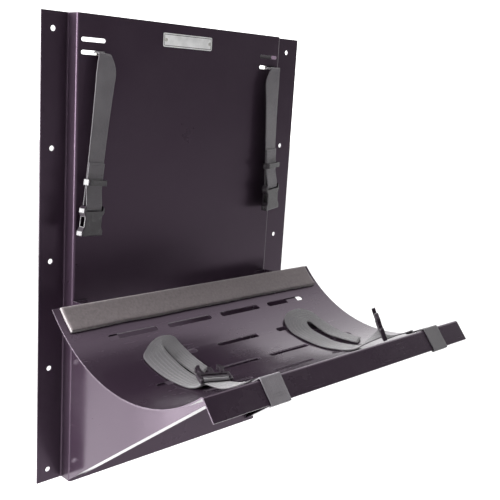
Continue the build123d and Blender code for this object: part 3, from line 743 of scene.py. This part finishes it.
def rear_pad(face, edge):
    """Foam strip on the rear of the trough, with cut edges that wander a little."""
    mesh = bpy.data.meshes.new("rear_foam_pad")
    grid = bmesh.new()
    columns, rows = 184, 14
    layers = []
    for top in (False, True):
        layers.append([[grid.verts.new(pad_point(i / columns, k / rows, top)) for k in range(rows + 1)]
                       for i in range(columns + 1)])
    under, over = layers
    for i in range(columns):
        for k in range(rows):
            grid.faces.new((over[i][k], over[i + 1][k], over[i + 1][k + 1], over[i][k + 1]))
            grid.faces.new((under[i][k], under[i][k + 1], under[i + 1][k + 1], under[i + 1][k]))
    rim_faces = []
    for i in range(columns):
        for k in (0, rows):
            rim_faces.append(grid.faces.new((under[i][k], under[i + 1][k], over[i + 1][k], over[i][k])))
    for k in range(rows):
        for i in (0, columns):
            rim_faces.append(grid.faces.new((under[i][k], over[i][k], over[i][k + 1], under[i][k + 1])))
    for rim_face in rim_faces:
        rim_face.material_index = 1
    bmesh.ops.recalc_face_normals(grid, faces=grid.faces)
    grid.to_mesh(mesh)
    grid.free()
    pad = new_piece("rear_foam_pad", mesh, [face, edge], "bracket")
    for polygon in mesh.polygons:
        polygon.use_smooth = polygon.material_index == 0
    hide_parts("rear_pad")


# ---------------------------------------------------------------- studio

def area_light(name, place, target, size, power):
    lamp = bpy.data.lights.new(name, "AREA")
    lamp.shape = "RECTANGLE"
    lamp.size, lamp.size_y = size
    lamp.energy = power
    holder = bpy.data.objects.new(name, lamp)
    holder.location = place
    holder.rotation_mode = "QUATERNION"
    holder.rotation_quaternion = (Vector(target) - Vector(place)).to_track_quat("-Z", "Y")
    holder.visible_camera = False
    bpy.context.scene.collection.objects.link(holder)


def studio():
    """A pale floor, a sky that is brightest behind the wall, and the lights."""
    scene = bpy.context.scene
    scene.view_settings.view_transform = "Standard"
    world = bpy.data.worlds.new("studio")
    world.use_nodes = True
    scene.world = world
    tree = world.node_tree
    background = tree.nodes["Background"]
    direction = tree.nodes.new("ShaderNodeTexCoord").outputs["Generated"]
    towards_wall = tree.nodes.new("ShaderNodeVectorMath")
    towards_wall.operation = "DOT_PRODUCT"
    towards_wall.inputs[1].default_value = (0.12, 1.0, 0.0)
    tree.links.new(direction, towards_wall.inputs[0])
    shade = tree.nodes.new("ShaderNodeMapRange")
    shade.interpolation_type = "SMOOTHSTEP"
    for socket, value in (("From Min", -0.3), ("From Max", 0.2), ("To Min", SKY_DIM), ("To Max", SKY_BRIGHT)):
        shade.inputs[socket].default_value = value
    tree.links.new(towards_wall.outputs["Value"], shade.inputs["Value"])
    tree.links.new(shade.outputs["Result"], background.inputs["Strength"])
    background.inputs["Color"].default_value = (1.0, 1.0, 1.0, 1.0)

    for light in LIGHTS:
        area_light(*light)

    height = cad_bounds[0].z - FLOOR_DROP
    bpy.ops.mesh.primitive_grid_add(
        x_subdivisions=12, y_subdivisions=12, size=FLOOR_SIZE, location=(0, 0, height))
    floor = bpy.context.object
    floor.name = "studio_floor"
    floor.data.materials.append(floor_paint())


def camera():
    """The main view: in front and to the left, a little above the tray."""
    yaw, pitch, roll = (math.radians(a) for a in (CAMERA_YAW, CAMERA_PITCH, CAMERA_ROLL))
    level_length = math.cos(pitch)
    forward = Vector((math.sin(yaw) * level_length, math.cos(yaw) * level_length, -math.sin(pitch)))
    level = Vector((math.cos(yaw), -math.sin(yaw), 0.0))
    upright = level.cross(forward)
    right = level * math.cos(roll) + upright * math.sin(roll)
    up = upright * math.cos(roll) - level * math.sin(roll)
    data = bpy.data.cameras.new("camera")
    data.sensor_width = SENSOR
    data.lens = LENS
    holder = bpy.data.objects.new("camera", data)
    turn = Matrix((right, up, -forward)).transposed().to_4x4()
    holder.matrix_world = Matrix.Translation(CAMERA_PLACE) @ turn
    bpy.context.scene.collection.objects.link(holder)
    bpy.context.scene.camera = holder


# ---------------------------------------------------------------- assembly

def dress(node, material):
    """Give a CAD node its finish."""
    for material_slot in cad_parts[node].material_slots:
        material_slot.material = material


# The last number sets how pale the edges get, as rubbed wear and painted highlight
panel = powder_coat("panel_paint", 0.018, 0.30, 0.05, 0.35)
tray = powder_coat("tray_paint", 0.020, 0.24, 0.10, 0.55)
sides = powder_coat("gusset_paint", 0.018, 0.16, 0.08, 0.45)
zinc = zinc_steel()
plastic = buckle_plastic()
# One webbing in four shades: the lighter left lip is painted light; the darker right lip, tray straps and
# tails are painted shade
hanging_fabric = webbing_fabric("webbing", 0.10)
lip_fabrics_lit_and_shaded = {
    "left": webbing_fabric("left_lip_webbing", 0.15),
    "right": webbing_fabric("right_lip_webbing", 0.075),
}
tray_fabric_painted_shade = webbing_fabric("tray_webbing_painted_shade", 0.062)
sewing = thread()

dress("back_panel", panel)
dress("cradle_tray", tray)
for node in ("left_gusset", "right_gusset"):
    dress(node, sides)
for node in ("gusset_screws", "gusset_nuts", "nameplate_rivets"):
    dress(node, zinc)
dress("nameplate", plate_metal(*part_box("nameplate")))
for side_name in SIDES:
    dress(f"{side_name}_retaining_pin", zinc)
    for part in ("strap_keeper", "female_buckle", "male_buckle", "prong_inner", "prong_outer"):
        dress(f"{side_name}_{part}", plastic)

for side_name, side in SIDES.items():
    hanging_web(side_name, side, hanging_fabric)
    return_stitches(side_name, side, sewing)
    lip_web(side_name, side, lip_fabrics_lit_and_shaded[side_name])
    lip_stitches(side_name, side, sewing)
    tray_web(side_name, side, tray_fabric_painted_shade)
    tail_web(side_name, side, tray_fabric_painted_shade)
rear_pad(foam("pad_face", 0.145, (1.0, 0.84, 0.87)), foam("pad_edge", 0.34, (1.0, 0.93, 0.94)))

studio()
camera()
